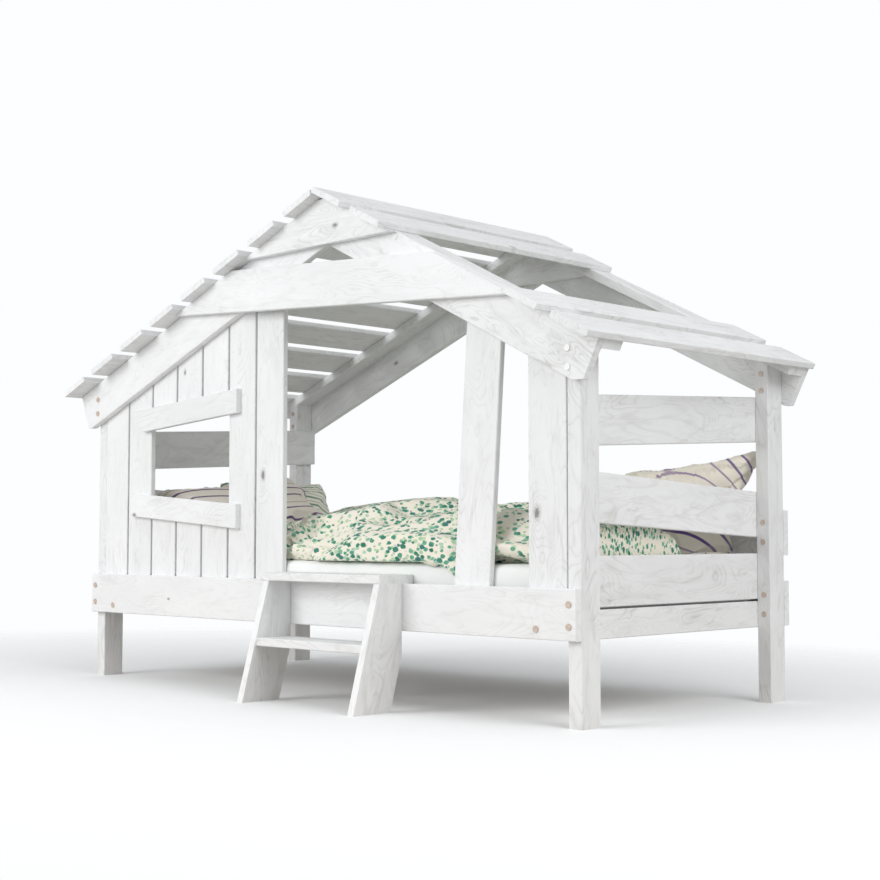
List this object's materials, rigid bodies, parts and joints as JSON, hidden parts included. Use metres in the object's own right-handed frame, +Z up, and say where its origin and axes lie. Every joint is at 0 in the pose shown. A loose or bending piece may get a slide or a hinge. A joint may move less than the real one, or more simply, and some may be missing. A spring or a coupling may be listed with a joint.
{
  "type": "house frame bed",
  "caption": "Child's bed in a crooked timber house frame: uneven slatted roof, board walls with a window and a doorway, leaning boards and a two-tread step.",
  "frame": {"origin": "on the floor, in the middle of the box that holds the whole bed with its step and its roof", "axes": "+X along the bed towards the doorway end, +Y towards the open back, +Z up; the step and the doorway are on the -Y side"},
  "size_m": [2.3184, 1.146, 1.4731],
  "materials": {
    "whitewashed_pine": "pine boards under a thin white wash, grain and knots showing, satin",
    "plain_pine": "sawn pine, left plain",
    "zinc_bolt": "low round heads and caps, dull zinc",
    "mattress_cover": "white woven cover",
    "duvet_cotton": "cream cotton with a green print",
    "purple_stripe_cotton": "beige cotton with purple stripes",
    "green_stripe_cotton": "cream cotton with green stripes"
  },
  "bodies": {
    "root": {"back_gable_board": "whitewashed_pine", "back_guard_board": "whitewashed_pine", "back_left_batten": "whitewashed_pine", "back_left_post": "whitewashed_pine", "back_left_rafter": "whitewashed_pine", "back_rail": "whitewashed_pine", "back_right_batten": "whitewashed_pine", "back_right_post": "whitewashed_pine", "back_right_rafter": "whitewashed_pine", "bed_slats": "plain_pine", "connector_bolts": "zinc_bolt", "corner_plank": "whitewashed_pine", "duvet": "duvet_cotton", "front_gable_board": "whitewashed_pine", "front_left_batten": "whitewashed_pine", "front_left_post": "whitewashed_pine", "front_left_rafter": "whitewashed_pine", "front_rail": "whitewashed_pine", "front_right_batten": "whitewashed_pine", "front_right_post": "whitewashed_pine", "front_right_rafter": "whitewashed_pine", "front_tie_board": "whitewashed_pine", "leaning_plank": "whitewashed_pine", "left_back_pillow": "green_stripe_cotton", "left_end_lower_board": "whitewashed_pine", "left_end_middle_board": "whitewashed_pine", "left_end_rail": "whitewashed_pine", "left_end_upper_board": "whitewashed_pine", "left_pillow": "purple_stripe_cotton", "left_roof_slat_1": "whitewashed_pine", "left_roof_slat_2": "whitewashed_pine", "left_roof_slat_3": "whitewashed_pine", "left_roof_slat_4": "whitewashed_pine", "left_roof_slat_5": "whitewashed_pine", "left_roof_slat_6": "whitewashed_pine", "left_roof_slat_7": "whitewashed_pine", "left_roof_slat_8": "whitewashed_pine", "mattress": "mattress_cover", "mattress_cleats": "plain_pine", "right_end_lower_board": "whitewashed_pine", "right_end_middle_board": "whitewashed_pine", "right_end_rail": "whitewashed_pine", "right_end_upper_board": "whitewashed_pine", "right_pillow": "purple_stripe_cotton", "right_roof_slat_1": "whitewashed_pine", "right_roof_slat_2": "whitewashed_pine", "right_roof_slat_3": "whitewashed_pine", "right_roof_slat_4": "whitewashed_pine", "step_left_side": "whitewashed_pine", "step_right_side": "whitewashed_pine", "step_top": "whitewashed_pine", "step_tread": "whitewashed_pine", "wall_plank_1": "whitewashed_pine", "wall_plank_2": "whitewashed_pine", "wall_plank_6": "whitewashed_pine", "wall_plank_7": "whitewashed_pine", "window_head_planks": "whitewashed_pine", "window_lower_board": "whitewashed_pine", "window_sill_planks": "whitewashed_pine", "window_upper_board": "whitewashed_pine"}
  },
  "joints": []
}
